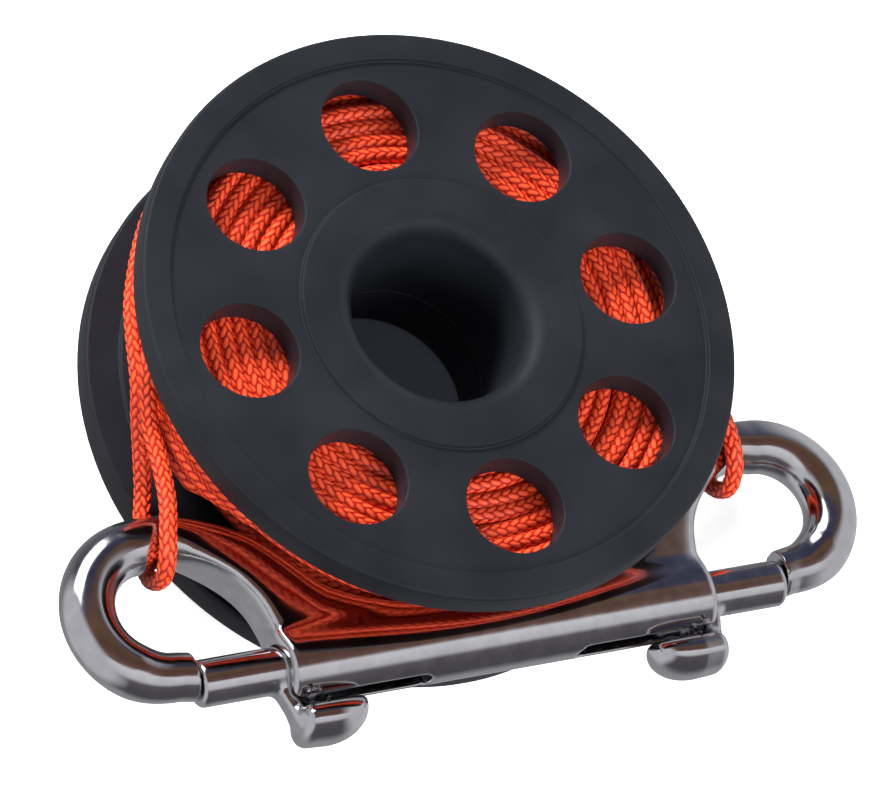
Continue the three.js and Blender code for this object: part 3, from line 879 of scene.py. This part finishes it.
def line_look(tree, shader):
    """Plaited nylon: slanted stitches in columns, with a painted highlight on their crowns and deep red
    painted shade between.
    """
    def calc(operation, *values):
        made = tree.nodes.new("ShaderNodeMath")
        made.operation = operation
        for socket, value in zip(made.inputs, values):
            if isinstance(value, bpy.types.NodeSocket):
                tree.links.new(value, socket)
            else:
                socket.default_value = value
        return made.outputs[0]

    place = tree.nodes.new("ShaderNodeSeparateXYZ")
    tree.links.new(node(tree, "ShaderNodeUVMap", uv_map="stitches").outputs["UV"], place.inputs[0])
    odd = calc("MODULO", calc("FLOOR", place.outputs["Y"]), 2)
    along = calc("SUBTRACT", calc("FRACT", calc("MULTIPLY_ADD", odd, 0.5, place.outputs["X"])), 0.5)
    beside = calc("SUBTRACT", calc("FRACT", place.outputs["Y"]), 0.5)
    beside = calc("MULTIPLY", beside, calc("MULTIPLY_ADD", odd, -2, 1))
    cos, sin = math.cos(stitch_lean), math.sin(stitch_lean)
    length = calc("MULTIPLY_ADD", along, stitch_pitch * cos / stitch_half_length,
                  calc("MULTIPLY", beside, stitch_column_width * sin / stitch_half_length))
    width = calc("MULTIPLY_ADD", beside, stitch_column_width * cos / stitch_half_width,
                 calc("MULTIPLY", along, -stitch_pitch * sin / stitch_half_width))
    out = calc("ADD", calc("POWER", calc("ABSOLUTE", length), 4), calc("MULTIPLY", width, width))
    rest = calc("SUBTRACT", 1, out)
    height = calc("SQRT", calc("MAXIMUM", rest, 0))
    filament = noise(tree, 5200, 2)
    # Colour by stitch height: deep red painted shade in the hollows between stitches, and a painted highlight
    # on their crowns.
    colour = ramp(tree, height, [
        (0.0, (0.40, 0.014, 0.006)), (0.5, (0.82, 0.058, 0.018)), (1.0, (0.98, 0.115, 0.038))])
    tint = ramp(tree, noise(tree, 260, 4), [(0.3, (0.84, 0.78, 0.76)), (0.7, (1.0, 1.0, 1.0))])
    mix = node(tree, "ShaderNodeMix", {"Factor": 1.0}, data_type="RGBA", blend_type="MULTIPLY")
    tree.links.new(colour, mix.inputs[6])
    tree.links.new(tint, mix.inputs[7])
    tree.links.new(mix.outputs[2], shader.inputs["Base Color"])
    shader.inputs["Roughness"].default_value = 0.38
    shader.inputs["Specular IOR Level"].default_value = 0.45
    fine = node(tree, "ShaderNodeBump", {"Strength": 0.4, "Distance": 0.03 * mm, "Height": filament})
    bump = node(tree, "ShaderNodeBump", {
        "Strength": 0.9, "Distance": 0.12 * mm, "Height": height, "Normal": fine.outputs["Normal"]})
    tree.links.new(bump.outputs["Normal"], shader.inputs["Normal"])


def polished_look(tree, shader):
    """Tumbled and polished casting: a bright mirror with faint waves and hairlines."""
    haze = noise(tree, 420, 4)
    wave = noise(tree, 160, 2)
    shader.inputs["Metallic"].default_value = 1.0
    tree.links.new(ramp(tree, haze, [(0.3, (0.58, 0.58, 0.60)), (0.7, (0.68, 0.68, 0.70))]),
                   shader.inputs["Base Color"])
    tree.links.new(ramp(tree, haze, [(0.3, (0.09,) * 3), (0.75, (0.17,) * 3)]), shader.inputs["Roughness"])
    bump = node(tree, "ShaderNodeBump", {"Strength": 0.15, "Distance": 0.05 * mm, "Height": wave})
    tree.links.new(bump.outputs["Normal"], shader.inputs["Normal"])


def spring_look(tree, shader):
    """Drawn wire: darker, with streaks along it."""
    streak = noise(tree, 1800, 3)
    shader.inputs["Metallic"].default_value = 1.0
    tree.links.new(ramp(tree, streak, [(0.3, (0.30, 0.30, 0.31)), (0.7, (0.46, 0.46, 0.47))]),
                   shader.inputs["Base Color"])
    tree.links.new(ramp(tree, streak, [(0.3, (0.25,) * 3), (0.7, (0.4,) * 3)]), shader.inputs["Roughness"])


def finish(made, material):
    made.data.materials.clear()
    made.data.materials.append(material)


black_plastic = new_material("satin_black_plastic", plastic_look)
orange_line = new_material("orange_braid", line_look)
polished_steel = new_material("polished_steel", polished_look)
spring_steel = new_material("spring_wire", spring_look)


# Studio
floor_size = 6
mat_size = 1.3 * flange_radius
mat_height = 0.05 * mm


def placed(centre, facing):
    """The matrix that puts something at a place with its local Z facing a direction."""
    turn = Vector(facing).to_track_quat("Z", "Y").to_matrix().to_4x4()
    return Matrix.Translation(centre) @ turn


def plane(name, centre, facing, width, height, material):
    """A flat rectangle that faces a direction."""
    corners = np.array([(-1, -1, 0), (1, -1, 0), (1, 1, 0), (-1, 1, 0)]) * (width / 2, height / 2, 0)
    made = new_object(name, corners, np.array([[0, 1, 2, 3]]), smooth=False)
    made.matrix_world = placed(centre, facing)
    made.data.materials.append(material)
    return made


def area_light(name, direction, distance, size, power):
    light = bpy.data.lights.new(name, "AREA")
    light.shape = "RECTANGLE"
    light.size, light.size_y = size
    light.energy = power
    holder = bpy.data.objects.new(name, light)
    direction = Vector(direction).normalized()
    holder.matrix_world = placed(camera_target + direction * distance, direction)
    bpy.context.scene.collection.objects.link(holder)
    return holder


def bright_floor(tree, shader):
    """A white sweep that glows a little, so that it stays white in the object's shade."""
    shader.inputs["Base Color"].default_value = (0.8, 0.8, 0.8, 1)
    shader.inputs["Roughness"].default_value = 1.0
    shader.inputs["Specular IOR Level"].default_value = 0.0
    shader.inputs["Emission Color"].default_value = (1, 1, 1, 1)
    shader.inputs["Emission Strength"].default_value = 0.75


# The room's colours by the angle about the snap's length in degrees: -90 is straight down, 0 level on
# the near side, 90 straight up, and -180 and 180 level on the far side
room_stops = [
    (-180, (0.10, 0.10, 0.12)), (-105, (0.34, 0.34, 0.35)), (-60, (0.34, 0.34, 0.35)),
    (-35, (0.09, 0.09, 0.10)), (0, (0.10, 0.09, 0.10)), (25, (0.13, 0.12, 0.13)),
    (36, (0.64, 0.63, 0.65)), (65, (0.82, 0.81, 0.84)), (71, (0.17, 0.09, 0.07)),
    (92, (0.12, 0.06, 0.045)), (108, (0.15, 0.09, 0.05)), (118, (0.05, 0.05, 0.09)),
    (155, (0.05, 0.055, 0.10)), (180, (0.10, 0.10, 0.12)),
]
room_ends = (0.60, 0.60, 0.63, 1)
room_ends_from = 0.48
room_ends_to = 0.72


def sky(world):
    """Room light, round the snap's length: a grey floor, darkness, a pale window, a brown shelf and a
    dark blue ceiling, with light grey at both ends of the snap."""
    world.use_nodes = True
    tree = world.node_tree
    axes = tree.nodes.new("ShaderNodeSeparateXYZ")
    tree.links.new(tree.nodes.new("ShaderNodeTexCoord").outputs["Generated"], axes.inputs[0])
    near = node(tree, "ShaderNodeMath", {0: axes.outputs["Y"], 1: -1.0}, operation="MULTIPLY")
    turn = node(tree, "ShaderNodeMath", {0: axes.outputs["Z"], 1: near.outputs[0]}, operation="ARCTAN2")
    share = node(tree, "ShaderNodeMapRange", {
        "Value": turn.outputs[0], "From Min": -math.pi, "From Max": math.pi})
    stops = [((degrees + 180) / 360, shade) for degrees, shade in room_stops]
    colour = ramp(tree, share.outputs[0], stops)
    reach = node(tree, "ShaderNodeMath", {0: axes.outputs["X"]}, operation="ABSOLUTE")
    ends = node(tree, "ShaderNodeMapRange", {
        "Value": reach.outputs[0], "From Min": room_ends_from, "From Max": room_ends_to})
    mix = node(tree, "ShaderNodeMix", {"Factor": ends.outputs[0], 7: room_ends}, data_type="RGBA")
    tree.links.new(colour, mix.inputs[6])
    tree.links.new(mix.outputs[2], tree.nodes["Background"].inputs["Color"])


def dark_mat(tree, shader):
    """The dark ground seen through the bore: dark grey, with a faint painted bluish glow that stands in for
    light falling on it.
    """
    shader.inputs["Base Color"].default_value = (0.05, 0.05, 0.055, 1)
    shader.inputs["Roughness"].default_value = 1.0
    # Painted glow: the mat gives off a faint bluish light of its own instead of being lit.
    shader.inputs["Emission Color"].default_value = (0.014, 0.015, 0.021, 1)
    shader.inputs["Emission Strength"].default_value = 1.0


def make_lights():
    """The key, window, low and fill lights show on surfaces only, and the glint in reflections only."""
    right, up, back = view_axes()
    overhead = up * 1.1 + back * 0.4 - right * 0.45
    window = direction_from(math.radians(-60), math.radians(38))
    low = direction_from(math.radians(-125), math.radians(20))
    for name, direction, distance, size, power in (
            ("key", overhead, 0.8, (0.3, 0.2), 17),
            ("glint", overhead, 0.85, (0.7, 0.5), 3),
            ("fill", back + up * 0.3, 0.9, (0.7, 0.7), 1),
            ("window", window, 0.8, (0.8, 0.4), 9),
            ("low", low, 0.8, (0.5, 0.25), 4.5)):
        light = area_light(name, direction, distance, size, power)
        light.visible_glossy = name == "glint"
        light.visible_diffuse = name != "glint"


def make_studio():
    white = new_material("white_floor", bright_floor)
    floor = plane("floor", (0, 0, 0), (0, 0, 1), floor_size, floor_size, white)
    floor.visible_glossy = False
    floor.visible_diffuse = False
    mat = new_material("dark_mat", dark_mat)
    plane("mat", (reel_x, reel_y, mat_height), (0, 0, 1), mat_size, mat_size, mat)
    make_lights()
    world = bpy.data.worlds.new("studio")
    sky(world)
    bpy.context.scene.world = world
    world.cycles_visibility.diffuse = False
    bpy.context.scene.view_settings.view_transform = "Standard"


make_camera()
make_loop()
make_winding()
reel_half("front_flange_half", "spool_front_half", True)
reel_half("rear_flange_half", "spool_rear_half", False)
make_snap()
make_studio()
